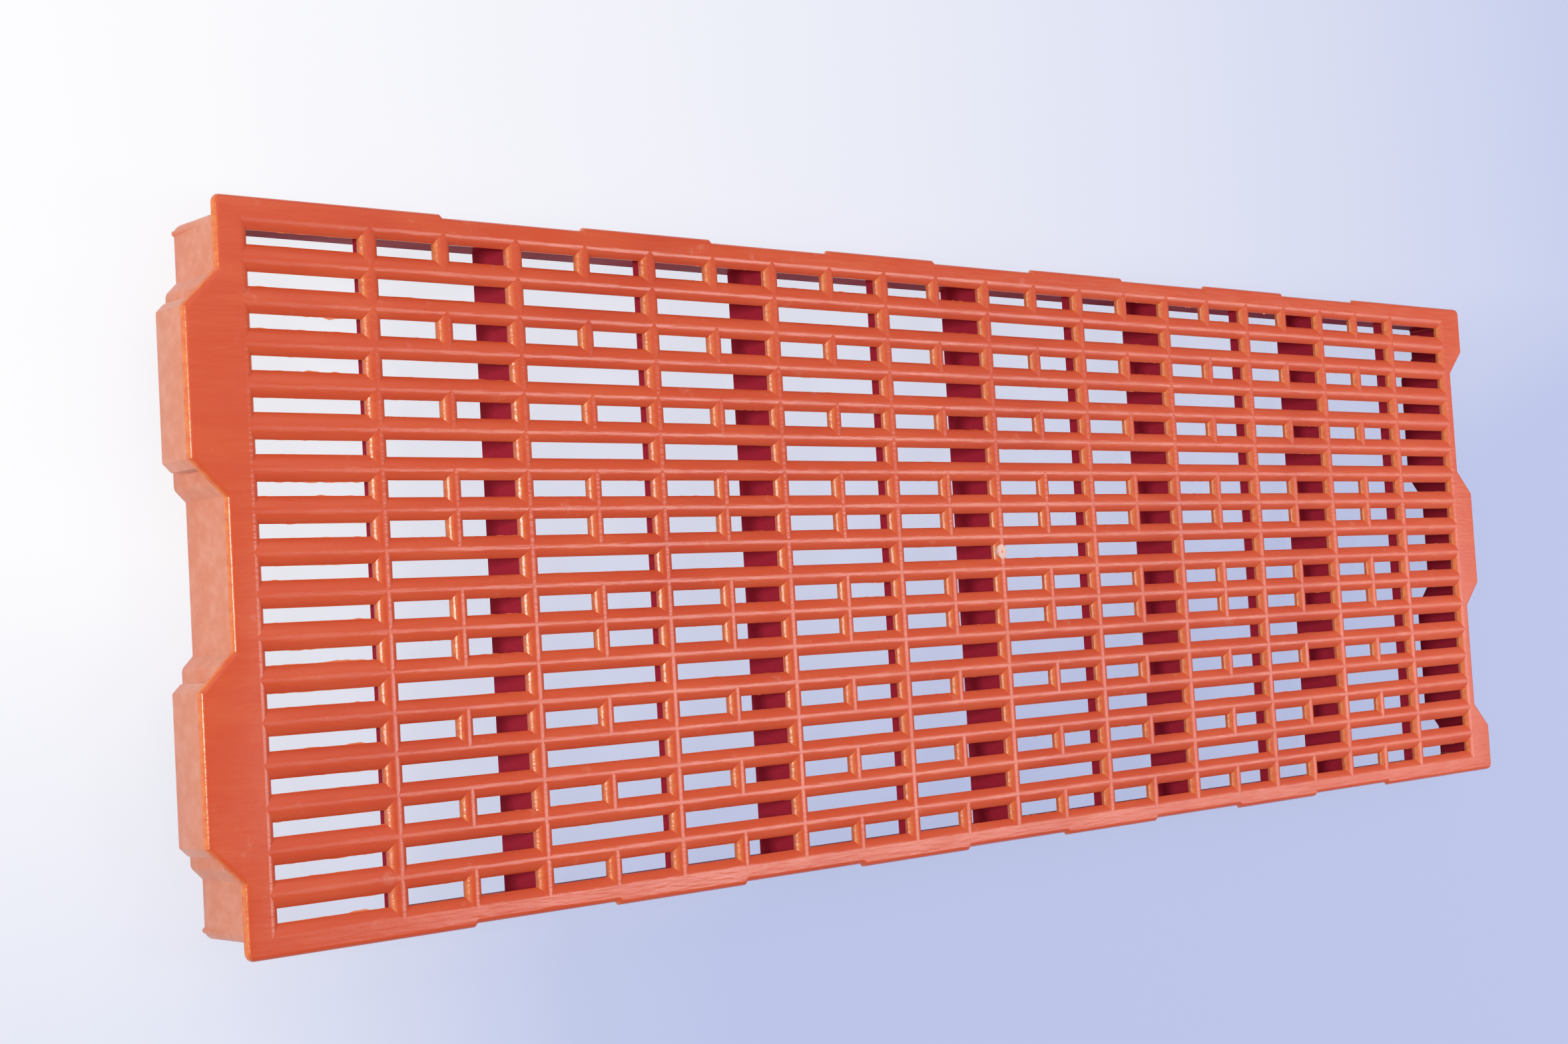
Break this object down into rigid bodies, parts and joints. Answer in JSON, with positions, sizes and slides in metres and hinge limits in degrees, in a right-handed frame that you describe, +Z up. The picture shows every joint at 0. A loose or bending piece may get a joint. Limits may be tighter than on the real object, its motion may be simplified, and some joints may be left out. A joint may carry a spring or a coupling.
{
  "type": "slatted floor panel",
  "caption": "Rectangular slatted plastic floor panel for livestock pens with rounded slats, cross ribs, a skirt and interlocking tongues on one end.",
  "frame": {"origin": "centre of the bounding box in plan, on the floor plane under the standing edge of the skirt", "axes": "+X along the panel's length away from the tongue end, +Y across the panel, +Z up out of the walking face"},
  "size_m": [1.218, 0.4, 0.048],
  "materials": {
    "panel": "satin orange-red injection-moulded polypropylene"
  },
  "bodies": {
    "root": {"floor_panel": "panel"}
  },
  "joints": []
}
